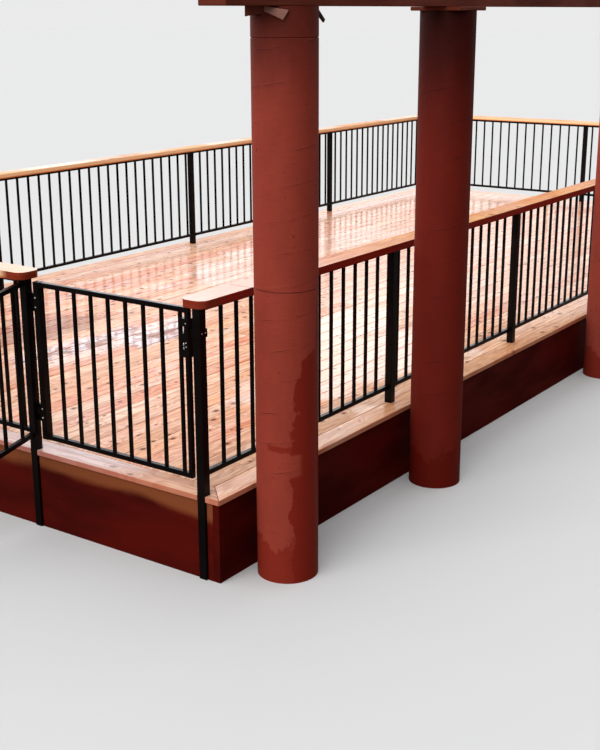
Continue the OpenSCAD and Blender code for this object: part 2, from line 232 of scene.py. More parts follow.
def grain(g, along, across, board, knotty=0.62):
    """Colour and relief of sawn wood, from metres along and across a board and its own number."""
    u = g.math("ADD", along, g.math("MULTIPLY", board, BOARD_SHIFT[0]))
    v = g.math("ADD", across, g.math("MULTIPLY", board, BOARD_SHIFT[1]))
    places = g.vector(g.math("MULTIPLY", u, KNOTS_A_METRE[0]), g.math("MULTIPLY", v, KNOTS_A_METRE[1]))
    distance = g.cells(places)
    chosen = g.cells(places, "Color")
    chance = g.math("LESS_THAN", g.add("SeparateColor", {0: chosen}), knotty)
    size = g.step(g.add("SeparateColor", {0: chosen}, output=1), 0.0, 1.0, *KNOT_SIZES)
    reach = g.math("DIVIDE", distance, size)
    knot = g.math("MULTIPLY", g.step(reach, 1.1, 0.75), chance)
    ring = g.math("MULTIPLY", g.step(reach, 2.4, 1.0), chance)
    halo = g.math("MULTIPLY", g.step(distance, 0.45, 0.03), chance)
    wander = g.streaks(u, v, 1.3, 7.0, detail=3.0)
    height = g.math("ADD", g.math("MULTIPLY", wander, 1.9), g.math("MULTIPLY", halo, 0.35))
    height = g.math("ADD", height, g.math("MULTIPLY", v, 3.0))
    band = g.math("FRACT", g.math("MULTIPLY", height, BANDS))
    late = g.math("MULTIPLY", g.step(band, 0.25, 0.88), g.step(band, 1.0, 0.93))
    fibre = g.streaks(u, v, 4.0, 170.0, detail=3.0)
    streak = g.streaks(u, v, 1.6, 26.0, detail=4.0)
    patch = g.streaks(u, v, 0.9, 5.0)
    colour = g.mix(g.step(patch, 0.35, 0.65), EARLY_WOOD, PALE_WOOD)
    colour = g.mix(g.step(streak, 0.48, 0.68, 0.0, 0.52), colour, RED_WOOD)
    colour = g.mix(g.math("MULTIPLY", late, 0.44), colour, LATE_WOOD)
    colour = g.mix(g.step(fibre, 0.42, 0.72, 0.0, 0.32), colour, LATE_WOOD)
    colour = g.mix(g.math("MULTIPLY", ring, 0.6), colour, KNOT_RING)
    colour = g.mix(g.math("MULTIPLY", knot, 0.93), colour, KNOT)
    relief = g.math("ADD", g.math("MULTIPLY", late, 0.5), g.math("MULTIPLY", fibre, 0.5))
    return colour, g.math("SUBTRACT", relief, g.math("MULTIPLY", knot, 0.6))


# How much a board's value, hue and saturation may differ from the wood's, at its lowest and highest
VALUES = (0.88, 1.036)
HUES = (0.488, 0.506)
SATURATIONS = (1.03, 0.86)


def tone(g, colour, board):
    """Each board a little lighter, darker or redder than the next."""
    chance = g.add("TexWhiteNoise", {"W": board}, output="Value", noise_dimensions="1D")
    hue = g.add("TexWhiteNoise", {"W": g.math("ADD", board, 0.37)}, output="Value", noise_dimensions="1D")
    return g.add("HueSaturation", {"Color": colour, "Value": g.step(chance, 0.0, 1.0, *VALUES),
                                   "Hue": g.step(hue, 0.0, 1.0, *HUES),
                                   "Saturation": g.step(hue, 0.0, 1.0, *SATURATIONS)})


# Wet places on the deck: middle and half size in metres from the gate's plane and the near guard
WET_PLACES = [((3.10, 1.15), (0.70, 0.30)), ((2.30, 0.60), (1.00, 0.40)), ((5.20, 2.90), (1.90, 0.75)),
              ((5.90, 1.60), (1.20, 0.40)), ((1.80, 2.25), (0.95, 0.30))]
# Places under a film of water, darkened as wet wood and as a painted reflection of dark things, and one
# where the boards are dark with water but bare of it
PUDDLES = [((1.60, 2.36), (0.60, 0.11)), ((2.10, 2.12), (0.42, 0.17))]
SOAKED = [((1.70, 2.95), (0.55, 0.32))]
PUDDLE_WET_AND_REFLECTION = (0.40, 0.27, 0.24)
SOAKED_TINT = (0.50, 0.38, 0.36)
WET_TINT = (0.72, 0.44, 0.36)
# The way on from the gate along which the deck gets wetter, and from where to where
WETTER_WAY = (0.82, 0.57)
WETTER_FROM = 2.4
WETTER_TO = 4.6
# The film of water on the damp boards inside the gate
DAMP_FILM = 0.26
# The roughness of a film of water and of wet wood, how much dry wood's strays, and what a pool takes off it
COAT_ROUGHNESS = 0.15
WET_ROUGHNESS = 0.30
UNEVEN_ROUGHNESS = 0.09
POOL_SMOOTHNESS = 0.26
# How deep the grain's relief is, and how strong on dry and on wet wood
GRAIN_DEPTH = 0.0014
GRAIN_STRENGTHS = (0.9, 0.35)
# The deck keeps drier beyond a line from the gate to the far guard: its slope and its start
DRIER_SLOPE = 0.753
DRIER_START = -0.70


def within(g, x, y, places, rough):
    """1 inside any of the ellipses, with an uneven edge."""
    inside = 0.0
    for (cx, cy), (rx, ry) in places:
        dx = g.math("DIVIDE", g.math("SUBTRACT", x, gate_x + cx), rx)
        dy = g.math("DIVIDE", g.math("SUBTRACT", y, near_y + cy), ry)
        reach = g.math("SQRT", g.math("ADD", g.math("MULTIPLY", dx, dx), g.math("MULTIPLY", dy, dy)))
        inside = g.math("MAXIMUM", inside, g.step(g.math("ADD", reach, rough), 1.15, 0.75))
    return inside


def wetness(g, x, y):
    """How wet the deck is at a place, from 0 to 1."""
    spread = g.noise(g.vector(x, y), scale=0.9, detail=4.0, roughness=0.6)
    rough = g.math("MULTIPLY", g.math("SUBTRACT", spread, 0.5), 2.2)
    places = within(g, x, y, WET_PLACES, rough)
    from_gate = g.math("SUBTRACT", x, gate_x)
    from_near = g.math("SUBTRACT", y, near_y)
    way = g.math("ADD", g.math("MULTIPLY", from_gate, WETTER_WAY[0]),
                 g.math("MULTIPLY", from_near, WETTER_WAY[1]))
    wet = g.step(g.math("ADD", way, rough), WETTER_FROM, WETTER_TO, 0.0, 0.8)
    wet = g.math("MAXIMUM", wet, g.step(spread, 0.56, 0.66))
    beyond = g.math("SUBTRACT", g.math("SUBTRACT", from_near, DRIER_START),
                    g.math("MULTIPLY", from_gate, DRIER_SLOPE))
    wet = g.math("MULTIPLY", wet, g.step(g.math("ADD", beyond, rough), -0.3, 0.5, 1.0, 0.25))
    return g.math("MAXIMUM", wet, places)


def wood_finish(g, colour, relief, wet, film, dry_roughness=0.62, soak=0.22, pool=None):
    """Wood that is darker where it is wet, under a film of water there, and smooth under a pool."""
    colour = g.mix(g.math("MULTIPLY", wet, soak), colour, WET_TINT, "MULTIPLY")
    scatter = g.noise(g.add("TexCoord", {}, output="Object"), scale=9.0, detail=3.0)
    dry = g.step(scatter, 0.3, 0.7, dry_roughness - UNEVEN_ROUGHNESS, dry_roughness + UNEVEN_ROUGHNESS)
    roughness = g.between(wet, dry, WET_ROUGHNESS)
    if pool is not None:
        roughness = g.math("SUBTRACT", roughness, g.math("MULTIPLY", pool, POOL_SMOOTHNESS))
    strength = g.step(wet, 0.0, 1.0, *GRAIN_STRENGTHS)
    return g.finish(colour, roughness, g.bump(relief, GRAIN_DEPTH, strength), specular=0.04, coat=film)


def deck_wood():
    """The field's boards: each with its own grain and tone, damp or wet, with puddles inside the gate."""
    g = Graph(bpy.data.materials.new("deck_wood"))
    x, y, _ = g.place()
    board = g.add("Attribute", {}, output="Fac", attribute_name="board")
    across = g.add("Attribute", {}, output="Fac", attribute_name="across")
    colour, relief = grain(g, x, across, board)
    ripple = g.noise(g.vector(x, y), scale=5.0, detail=3.0)
    puddle = within(g, x, y, PUDDLES, g.math("MULTIPLY", g.math("SUBTRACT", ripple, 0.5), 1.8))
    standing = g.noise(g.vector(g.math("MULTIPLY", x, 2.6), g.math("MULTIPLY", y, 6.0)), detail=3.0)
    standing = g.step(standing, 0.44, 0.52)
    pool = g.math("MULTIPLY", puddle, standing)
    # Painted reflection: the puddles darken as wet wood and as a reflection of dark things
    colour = g.mix(g.math("MULTIPLY", puddle, 0.8), tone(g, colour, board), PUDDLE_WET_AND_REFLECTION, "MULTIPLY")
    soaked = within(g, x, y, SOAKED, g.math("MULTIPLY", g.math("SUBTRACT", ripple, 0.5), 1.4))
    colour = g.mix(g.math("MULTIPLY", soaked, 0.75), colour, SOAKED_TINT, "MULTIPLY")
    wet = g.math("MAXIMUM", wetness(g, x, y), puddle)
    film = g.math("SUBTRACT", g.math("MULTIPLY", wet, 0.80), g.math("MULTIPLY", puddle, 0.55))
    inward = g.math("SUBTRACT", g.math("SUBTRACT", y, near_y),
                    g.math("MULTIPLY", g.math("SUBTRACT", x, gate_x), 0.5))
    film = g.math("MAXIMUM", film, g.step(inward, 0.1, 1.0, 0.03, DAMP_FILM))
    film = g.math("MAXIMUM", film, pool)
    relief = g.math("MULTIPLY", relief, g.math("SUBTRACT", 1.0, pool))
    return wood_finish(g, colour, relief, wet, film, pool=pool)


# Paint that has run over the border boards' outer edges
EDGE_RED = (0.42, 0.10, 0.060)
# The border's tints away from the gate and near it, and on the gate's side by the corner and further in
BORDER_TINTS = ((0.93, 0.92, 0.84), (1.0, 0.98, 0.98))
# On the gate's side: painted shade by the corner, and a painted bluish reflection of the sky further in
GATE_SIDE_SHADE_AND_SKY = ((0.72, 0.65, 0.60), (0.66, 0.72, 0.96))
# How far in from the deck's edge the gate side's boards reach, and a number that no field board has
GATE_SIDE_W = 0.40
FIRST_BORDER_BOARD = 60.0


def border_wood():
    """The mitred border: its grain follows the side of the deck that a point is nearest."""
    g = Graph(bpy.data.materials.new("border_wood"))
    x, y, _ = g.place()
    near = g.math("SUBTRACT", y, border_low.y)
    far = g.math("SUBTRACT", border_high.y, y)
    gate = g.math("SUBTRACT", x, border_low.x)
    end = g.math("SUBTRACT", border_high.x, x)
    to_y = g.math("MINIMUM", near, far)
    to_x = g.math("MINIMUM", gate, end)
    along_y = g.math("LESS_THAN", to_x, to_y)
    along = g.between(along_y, x, y)
    across = g.math("MINIMUM", to_x, to_y)
    side = g.math("ADD", g.math("GREATER_THAN", near, far), g.math("GREATER_THAN", gate, end))
    board = g.math("ADD", g.math("MULTIPLY", along_y, 5.0), g.math("MULTIPLY", side, 3.0))
    colour, relief = grain(g, along, across, g.math("ADD", board, FIRST_BORDER_BOARD), 0.40)
    colour = g.mix(0.15, colour, PALE_WOOD)
    by_corner = g.step(gate, 2.0, 1.0)
    colour = g.mix(1.0, colour, g.mix(by_corner, *BORDER_TINTS), "MULTIPLY")
    by_gate = g.math("MULTIPLY", along_y, g.math("LESS_THAN", gate, GATE_SIDE_W))
    from_corner = g.step(near, 0.35, 0.85)
    # Painted shade and a painted reflection of the sky on the gate side's boards
    colour = g.mix(by_gate, colour, g.mix(from_corner, *GATE_SIDE_SHADE_AND_SKY), "MULTIPLY")
    up = g.facing_up()
    colour = g.mix(g.math("MULTIPLY", g.step(up, 0.75, 0.45), 0.65), colour, EDGE_RED)
    wet = g.math("MULTIPLY", wetness(g, x, y), 0.6)
    damp = g.math("MULTIPLY", by_gate, g.step(from_corner, 0.0, 1.0, -0.25, 0.30))
    damp = g.math("ADD", g.math("MULTIPLY", by_corner, 0.45), damp)
    damp = g.math("MULTIPLY", damp, g.step(up, 0.6, 0.9))
    return wood_finish(g, colour, relief, wet, g.math("MAXIMUM", wet, damp), dry_roughness=0.42)


# A cap's tints at its start and further on, and its golden streaks
# The first tints, with the paler wood at a cap's start, paint a pale sheen there
CAP_TINTS = ((0.86, 0.82, 0.78), (0.86, 0.71, 0.47))
CAP_STREAK = (0.66, 0.235, 0.075)
# A butt joint's dark line: its colour, its reach and its ease
JOINT_DARK = (0.10, 0.06, 0.05)
JOINT_REACH = 0.0024
JOINT_EASE = 0.0012
# Heights over a cap's underside between which the painted shade of its lower edge gives way to its sides'
# colour
EDGE_HEIGHTS = (0.008, 0.013)
# Distances from a cap's start over which its end's stain gives way
END_STAIN = (0.09, 0.18)


def cap_wood(name, axis, side_colour, edge_shade_colour, end_colour, bleached=0.4, gloss=(0.35, 0.35), joint=None,
             tints=CAP_TINTS):
    """Cap rails: wet wood along one axis, with sides of their own colour and a butt joint where one is
    given.

    The edge's colour is painted shade on the sides' lowest part, and a side colour may be painted shade
    too; the end that has a stain of its own is the one with the lowest coordinate. The gloss and the tints
    are those of the wood at that end and further on.
    """
    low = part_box(name)[0]
    g = Graph(bpy.data.materials.new(name))
    x, y, z = g.place()
    along, across = (x, y) if axis == "X" else (y, x)
    own_number = 3.0 * len(name)
    colour, relief = grain(g, along, across, own_number, 0.25)
    gold = g.streaks(along, across, 0.9, 2.0, detail=3.0)
    start = low.x if axis == "X" else low.y
    from_start = g.math("SUBTRACT", along, start)
    # Paler along pale streaks, and paler over the cap's first metre or so as a painted sheen
    pale = g.math("MAXIMUM", g.step(gold, 0.40, 0.62, bleached, 0.0),
                  g.step(from_start, 1.3, 0.5, 0.0, 0.8))
    colour = g.mix(pale, colour, PALE_WOOD)
    colour = g.mix(1.0, colour, g.mix(g.step(from_start, 0.7, 2.0), *tints), "MULTIPLY")
    streak = g.streaks(along, across, 0.7, 15.0, detail=4.0)
    streak = g.math("MULTIPLY", g.step(streak, 0.46, 0.64, 0.0, 0.65), g.step(from_start, 0.6, 1.2))
    colour = g.mix(g.math("MULTIPLY", streak, g.math("SUBTRACT", 1.0, bleached)), colour, CAP_STREAK)
    wet = g.step(g.noise(g.vector(x, y), scale=1.1, detail=3.0), 0.38, 0.60, 0.1, 0.7)
    wet = g.math("MAXIMUM", wet, g.step(from_start, 1.2, 0.6))
    film = g.math("MULTIPLY", g.step(wet, 0.1, 1.0), g.step(from_start, 0.8, 1.8, *gloss))
    upright = g.step(g.facing_up(), 0.80, 0.35)
    # Painted shade: the sides' lowest part darkens to the edge's colour
    stain = g.mix(g.step(z, low.z + EDGE_HEIGHTS[1], low.z + EDGE_HEIGHTS[0]), side_colour, edge_shade_colour)
    stain = g.mix(g.step(from_start, END_STAIN[1], END_STAIN[0]), stain, end_colour)
    worn = g.step(g.streaks(along, z, 2.5, 60.0, detail=4.0), 0.30, 0.75, 1.0, 0.975)
    colour = g.mix(g.math("MULTIPLY", upright, worn), colour, stain)
    film = g.math("MULTIPLY", film, g.math("SUBTRACT", 1.0, upright))
    if joint is not None:
        gap = g.near(x, joint, JOINT_REACH, JOINT_EASE)
        colour = g.mix(g.math("MULTIPLY", gap, 0.9), colour, JOINT_DARK)
        film = g.math("MULTIPLY", film, g.math("SUBTRACT", 1.0, gap))
        relief = g.math("SUBTRACT", relief, g.math("MULTIPLY", gap, 2.0))
    return wood_finish(g, colour, relief, wet, film, dry_roughness=0.45, soak=0.12)


# What the framing's wood is darkened by
FRAME_TINT = (0.42, 0.40, 0.36)


def frame_wood():
    """Rough, weathered timber under the deck."""
    g = Graph(bpy.data.materials.new("frame_wood"))
    x, y, z = g.place()
    colour, relief = grain(g, g.math("ADD", x, y), z, 3.0)
    colour = g.mix(1.0, colour, FRAME_TINT, "MULTIPLY")
    return g.finish(colour, 0.75, g.bump(relief, 0.0015, 0.8))


# Painted timber and columns

# How far down from the deck's top another paint may reach, and how uneven its edge is
TOP_DEPTH = 0.1
TOP_EDGE = 0.03


def painted_timber(name, colour, shade, axis="X", top_colour=None):
    """Old paint on boards: the grain shows as relief, with darker and rubbed places."""
    g = Graph(bpy.data.materials.new(name))
    x, y, z = g.place()
    along = x if axis == "X" else y
    fibre = g.streaks(along, z, 3.0, 190.0, detail=3.0)
    broad = g.streaks(along, z, 1.4, 5.0, detail=4.0)
    result = g.mix(g.step(broad, 0.35, 0.7), colour, shade)
    result = g.mix(g.step(fibre, 0.45, 0.8, 0.0, 0.35), result, shade)
    if top_colour:
        depth = g.math("SUBTRACT", deck_top, z)
        edge = g.math("ADD", depth, g.math("MULTIPLY", g.math("SUBTRACT", broad, 0.5), 0.10))
        result = g.mix(g.step(edge, TOP_DEPTH + TOP_EDGE, TOP_DEPTH - TOP_EDGE), result, top_colour)
    roughness = g.step(broad, 0.3, 0.7, 0.38, 0.60)
    return g.finish(result, roughness, g.bump(fibre, 0.0008, 0.6), specular=0.05)


# How much of its light the paint keeps in broad places, brush marks, open seams and pits
BROAD_SHARE = 0.80
BRUSH_SHARE = 0.62
SEAM_SHARE = 0.35
PIT_SHARE = 0.30
# Distances from a seam over which its line and its ridge fade, and how far the seams stray
SEAM_LINE = (0.0036, 0.0006)
SEAM_RIDGE = (0.011, 0.002)
SEAM_STRAY = 0.012
LEVEL_LINE = (0.0034, 0.0008)
LEVEL_STRAY = 0.008
# Distances from the level seam over which the winding one comes back
LEVEL_CLEAR = (0.02, 0.07)
# A nick in the stained column: its height over the deck and its turn, each with its reach and ease
NICK_HEIGHT = (1.60, 0.005, 0.004)
NICK_TURN = (2.751, 0.025, 0.02)
# The edge of its stain, as a turn: heights over the deck, and what is added from the first to the second
STAIN_EDGE = [((1.02, 0.88), (-0.85, -1.38)), ((0.72, 0.66), (0.0, -0.68)), ((0.66, 0.30), (0.0, -0.30))]
# A smear and a dry patch: the height over the deck, the reach and the ease, and the turn of their side
SMEAR = (0.247, 0.010, 0.008)
DRY_PATCH = (0.165, 0.045, 0.020)
STAINED_SIDE = -2.62


def column_seams(g, turn, over, sway, kept, seam, level_seam):
    """The open lines and the ridge that a column's form left, each from 0 to 1."""
    pitch, seam_height, seam_turn = seam
    wound = g.math("MULTIPLY", g.math("SUBTRACT", turn, seam_turn), pitch / math.tau)
    level = g.math("SUBTRACT", g.math("SUBTRACT", over, seam_height), wound)
    level = g.math("ADD", level, g.math("MULTIPLY", sway, SEAM_STRAY))
    saw = g.math("FRACT", g.math("DIVIDE", level, pitch))
    from_middle = g.math("ABSOLUTE", g.math("SUBTRACT", saw, 0.5))
    from_seam = g.math("MULTIPLY", g.math("SUBTRACT", 0.5, from_middle), pitch)
    line = g.math("MULTIPLY", g.step(from_seam, *SEAM_LINE), g.step(kept, 0.46, 0.66, 0.06, 0.9))
    if level_seam is not None:
        swayed = g.math("ADD", over, g.math("MULTIPLY", sway, LEVEL_STRAY))
        from_level = g.math("ABSOLUTE", g.math("SUBTRACT", swayed, level_seam))
        line = g.math("MULTIPLY", line, g.step(from_level, *LEVEL_CLEAR))
        line = g.math("MAXIMUM", line, g.step(from_level, *LEVEL_LINE))
    ridge = g.math("MULTIPLY", g.step(from_seam, *SEAM_RIDGE), g.step(kept, 0.35, 0.60))
    return line, ridge


def column_stain(g, turn, over, lobes, wet):
    """Adds a wet stain down the column, a smear and a dry patch to how wet it is."""
    edge = 0.0
    for heights, turns in STAIN_EDGE:
        edge = g.math("ADD", edge, g.step(over, *heights, *turns))
    inside = g.math("SUBTRACT", g.math("ADD", turn, g.math("MULTIPLY", lobes, 1.5)), edge)
    stain = g.math("MULTIPLY", g.step(inside, 0.0, 0.05), g.step(turn, 0.7, 0.3))
    facing = g.step(g.math("COSINE", g.math("SUBTRACT", turn, STAINED_SIDE)), 0.80, 0.90)
    height = g.math("ADD", over, g.math("MULTIPLY", lobes, 0.06))
    smear = g.math("MULTIPLY", g.near(height, *SMEAR), facing)
    wet = g.math("MAXIMUM", wet, g.math("MAXIMUM", stain, g.math("MULTIPLY", smear, 0.8)))
    patch = g.math("MULTIPLY", g.near(height, *DRY_PATCH), facing)
    return g.math("MULTIPLY", wet, g.math("SUBTRACT", 1.0, patch))


def column_paint(name, colour, wet_colour, seam, stained=False, top_shade_depth=0.50, top_shade=0.24,
                 level_seam=None):
    """Brick red paint on a cast column: its form's winding seam, brush marks, painted shade at its top and
    wet places.

    The seam is given by its pitch and one height over the deck with the turn there; a level seam is given
    by its height over the deck.
    """
    g = Graph(bpy.data.materials.new(name))
    x, y, z = g.place()
    low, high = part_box(name)
    middle = (low + high) / 2
    turn = g.math("ARCTAN2", g.math("SUBTRACT", y, middle.y), g.math("SUBTRACT", x, middle.x))
    round_x = g.math("COSINE", turn)
    round_y = g.math("SINE", turn)
    over = g.math("SUBTRACT", z, deck_top)

    def wrapped(drawn, **settings):
        """Noise that closes round the column, with its height taken so many times."""
        return g.noise(g.vector(round_x, round_y, g.math("MULTIPLY", z, drawn)), **settings)

    brush = wrapped(60.0, scale=2.2, detail=3.0)
    broad = wrapped(3.0, scale=1.2, detail=5.0, roughness=0.6)
    lobes = g.math("SUBTRACT", wrapped(5.0, scale=1.1, detail=4.0, roughness=0.55), 0.5)
    point = g.add("TexCoord", {}, output="Object")
    grit = g.noise(point, scale=160.0, detail=3.0)
    line, ridge = column_seams(g, turn, over, wrapped(1.0, scale=2.0), wrapped(4.0, scale=1.3, detail=3.0),
                               seam, level_seam)
    pit = g.step(g.noise(point, scale=38.0, detail=1.0), 0.765, 0.785)
    if stained:
        nick = g.math("MULTIPLY", g.near(over, *NICK_HEIGHT), g.near(turn, *NICK_TURN))
        pit = g.math("MAXIMUM", pit, nick)
    result = g.mix(g.step(broad, 0.35, 0.7, 0.0, 0.55), colour, darker(colour, BROAD_SHARE))
    result = g.mix(g.step(brush, 0.52, 0.72, 0.0, 0.30), result, darker(colour, BRUSH_SHARE))
    result = g.mix(g.math("MULTIPLY", line, 0.68), result, darker(colour, SEAM_SHARE))
    result = g.mix(g.math("MULTIPLY", pit, 0.6), result, darker(colour, PIT_SHARE))
    # Painted shade: the paint darkens towards the column's top, under the beam
    below_top = g.math("SUBTRACT", high.z, z)
    shade_reach = g.math("ADD", below_top, g.math("MULTIPLY", g.math("SUBTRACT", broad, 0.5), 0.5))
    result = g.mix(g.step(shade_reach, top_shade_depth, -0.05, 0.0, 0.86), result, darker(colour, top_shade))
    foot = g.math("ADD", z, g.math("MULTIPLY", lobes, 0.7))
    wet = g.step(foot, 0.20, 0.17, 0.0, 0.75)
    if stained:
        wet = column_stain(g, turn, over, lobes, wet)
    result = g.mix(g.math("MULTIPLY", wet, 0.85), result, wet_colour)
    relief = g.math("ADD", g.math("MULTIPLY", brush, 0.6), g.math("MULTIPLY", grit, 0.35))
    relief = g.math("ADD", relief, g.math("ADD", g.math("MULTIPLY", broad, 2.0), ridge))
    relief = g.math("SUBTRACT", relief, g.math("ADD", g.math("MULTIPLY", line, 2.0), pit))
    roughness = g.step(wet, 0.0, 1.0, 0.62, 0.30)
    return g.finish(result, roughness, g.bump(relief, 0.0013, 0.6), specular=0.10)


# Powder coat and its dust, and bare metal with its scratches
COAT_BLACK = (0.0030, 0.0018, 0.0018)
COAT_DUST = (0.0068, 0.0046, 0.0042)
BRIGHT_METAL = (0.55, 0.54, 0.52)
DULL_METAL = (0.30, 0.28, 0.26)


def black_steel():
    """Satin black powder coat with the faint unevenness of its film."""
    g = Graph(bpy.data.materials.new("black_steel"))
    point = g.add("TexCoord", {}, output="Object")
    peel = g.noise(point, scale=420.0, detail=2.0)
    broad = g.noise(point, scale=6.0, detail=4.0)
    dust = g.step(broad, 0.5, 0.75, 0.0, 0.35)
    colour = g.mix(dust, COAT_BLACK, COAT_DUST)
    roughness = g.step(broad, 0.3, 0.7, 0.22, 0.36)
    return g.finish(colour, roughness, g.bump(peel, 0.0002, 0.5), specular=0.11)


def bare_metal():
    """Scratched, dull metal for screws and bolts."""
    g = Graph(bpy.data.materials.new("bare_metal"))
    point = g.add("TexCoord", {}, output="Object")
    scratch = g.noise(point, scale=260.0, detail=3.0)
    colour = g.mix(g.step(scratch, 0.4, 0.7), BRIGHT_METAL, DULL_METAL)
    roughness = g.step(scratch, 0.3, 0.7, 0.22, 0.45)
    return g.finish(colour, roughness, g.bump(scratch, 0.0002, 0.5), metallic=1.0)


# Pieces

def made_piece(name, bm, material, body="deck"):
    """Turns a bmesh into a piece that rides on a body."""
    bmesh.ops.recalc_face_normals(bm, faces=bm.faces)
    mesh = bpy.data.meshes.new(name)
    bm.to_mesh(mesh)
    bm.free()
    piece = bpy.data.objects.new(name, mesh)
    bpy.context.scene.collection.objects.link(piece)
    mesh.materials.append(material)
    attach(piece, body)
    return piece


def add_block(bm, low, high, ease):
    """A box with eased edges; gives its faces."""
    size = Vector(high) - Vector(low)
    middle = (Vector(high) + Vector(low)) / 2
    matrix = Matrix.Translation(middle) @ Matrix.Diagonal((*size, 1.0))
    made = bmesh.ops.create_cube(bm, size=1.0, matrix=matrix)
    faces = {face for vert in made["verts"] for face in vert.link_faces}
    edges = {edge for face in faces for edge in face.edges}
    out = bmesh.ops.bevel(bm, geom=list(edges), offset=ease, segments=2, profile=0.5, affect="EDGES")
    return {face for face in faces if face.is_valid} | set(out["faces"])


WELD_DISTANCE = 0.00005
SHARP_ANGLE = math.radians(40)


def soften(name, width, segments=2):
    """Rounds a CAD node's sharp edges a little, for the light to catch."""
    node = nodes[name]
    weld = node.modifiers.new("weld", "WELD")
    weld.merge_threshold = WELD_DISTANCE
    bevel = node.modifiers.new("ease", "BEVEL")
    bevel.width = width
    bevel.segments = segments
    bevel.limit_method = "ANGLE"
    bevel.angle_limit = SHARP_ANGLE
    bevel.harden_normals = True


def paint(name, material):
    """Gives a CAD node its material."""
    node = nodes[name]
    node.data.materials.clear()
    node.data.materials.append(material)


def joist_middles():
    """The x of each joist's middle."""
    low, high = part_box("joists")
    first = low.x + JOIST_T / 2
    count = math.floor((high.x - first) / JOIST_PITCH) + 1
    return [first + k * JOIST_PITCH for k in range(count)]


def deck_boards():
    """The field's boards, laid along X with butt joints on the joists."""
    bm = bmesh.new()
    board_layer = bm.verts.layers.float.new("board")
    across_layer = bm.verts.layers.float.new("across")
    middles = joist_middles()
    number = 0
    for row in range(math.ceil((field_high.y - field_low.y) / BOARD_PITCH)):
        y0 = field_low.y + row * BOARD_PITCH
        y1 = min(y0 + BOARD_W, field_high.y)
        if y1 - y0 < NARROWEST_BOARD:
            continue
        joint = FIRST_ENDS[row % len(FIRST_ENDS)]
        ends = [field_low.x, middles[joint], middles[joint + SECOND_ENDS_ON], field_high.x]
        for left, right in zip(ends, ends[1:]):
            number += 1
            x0 = left + (HALF_BUTT_GAP if left > field_low.x else 0.0)
            x1 = right - (HALF_BUTT_GAP if right < field_high.x else 0.0)
            drop = random.uniform(0.0, BOARD_DROP)
            faces = add_block(bm, (x0, y0, field_low.z - drop), (x1, y1, field_high.z - drop), BOARD_EASE)
            for vert in {vert for face in faces for vert in face.verts}:
                vert[board_layer] = number
                vert[across_layer] = vert.co.y - y0
    piece = made_piece("deck_boards", bm, deck_wood())
    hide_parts("deck_field")


def deck_screws(material):
    """Two screws in each board at each joist."""
    bm = bmesh.new()
    middles = joist_middles()
    for row in range(int((field_high.y - field_low.y) / BOARD_PITCH)):
        for middle in middles:
            for inset in (SCREW_INSET, BOARD_W - SCREW_INSET):
                x = middle + random.uniform(-SCREW_STRAY_X, SCREW_STRAY_X)
                y = field_low.y + row * BOARD_PITCH + inset + random.uniform(-SCREW_STRAY_Y, SCREW_STRAY_Y)
                place = Matrix.Translation((x, y, deck_top - SCREW_DEPTH))
                bmesh.ops.create_cone(bm, cap_ends=True, segments=SCREW_SIDES, radius1=SCREW_R,
                                      radius2=SCREW_R, depth=SCREW_L, matrix=place)
    made_piece("deck_screws", bm, material)


def add_prism(bm, outline, origin, right, depths):
    """A prism on an outline of (distance along right, height) points from an origin, between two depths."""
    out = Vector((right.y, -right.x, 0.0))

    def ring(depth):
        return [bm.verts.new(origin + right * along + Vector((0, 0, height)) + out * depth)
                for along, height in outline]

    front = ring(depths[1])
    back = ring(depths[0])
    bm.faces.new(front)
    bm.faces.new(list(reversed(back)))
    count = len(outline)
    for i in range(count):
        following = (i + 1) % count
        bm.faces.new((front[i], back[i], back[following], front[following]))


# Bits left at the first column's top: outline along the column's front and over the deck, and depths
BEAM_UNDER = 2.195
SHIM_EASE = 0.0012
# The photo's right where the first column stands
PHOTO_RIGHT = (0.583, -0.812, 0.0)
SHIMS = [("shim_left", [(-0.165, 2.153), (-0.080, 2.167), (-0.080, BEAM_UNDER), (-0.165, BEAM_UNDER)],
          (-0.070, -0.030)),
         ("shim_wedge", [(-0.084, 2.1746), (-0.006, 2.1387), (0.018, 2.1782), (-0.082, 2.1945)],
          (-0.030, 0.014)),
         ("shim_sliver", [(0.112, BEAM_UNDER), (0.205, 2.126), (0.216, 2.138), (0.150, BEAM_UNDER)],
          (-0.013, -0.005))]


def column_shims(materials):
    """An offcut, a wedge and a sliver of wood left between the first column and the beam.

    The first two lie across the column's side that the photo shows, the sliver along the beam's near face.
    """
    low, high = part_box("left_column")
    middle = (low + high) / 2
    right = Vector(PHOTO_RIGHT).normalized()
    out = Vector((right.y, -right.x, 0.0))
    front = Vector((middle.x, middle.y, deck_top)) + out * (high.x - low.x) / 2
    beam_face = Vector((middle.x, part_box("beam")[0].y, deck_top))
    frames = ((front, right), (front, right), (beam_face, Vector((1, 0, 0))))
    for (name, outline, depths), (origin, along), material in zip(SHIMS, frames, materials):
        bm = bmesh.new()
        add_prism(bm, outline, origin, along, depths)
        bmesh.ops.bevel(bm, geom=list(bm.edges), offset=SHIM_EASE, segments=2, profile=0.5, affect="EDGES")
        made_piece(name, bm, material)


def dome_head(bm, centre, radius, rise, axis):
    """A rounded bolt head whose flat side lies at centre, facing along an axis."""
    turn = Vector((0, 0, 1)).rotation_difference(Vector(axis)).to_matrix()
    loops = []
    for ring in range(HEAD_RINGS):
        angle = math.pi / 2 * ring / HEAD_RINGS
        r = radius * math.cos(angle)
        h = rise * math.sin(angle)
        loops.append([bm.verts.new(Vector(centre) + turn @ Vector((r * math.cos(t), r * math.sin(t), h)))
                      for t in (math.tau * k / HEAD_SIDES for k in range(HEAD_SIDES))])
    top = bm.verts.new(Vector(centre) + turn @ Vector((0, 0, rise)))
    for k in range(HEAD_SIDES):
        following = (k + 1) % HEAD_SIDES
        for a, b in zip(loops, loops[1:]):
            bm.faces.new((a[k], a[following], b[following], b[k]))
        bm.faces.new((loops[-1][k], loops[-1][following], top))
    bm.faces.new(list(reversed(loops[0])))


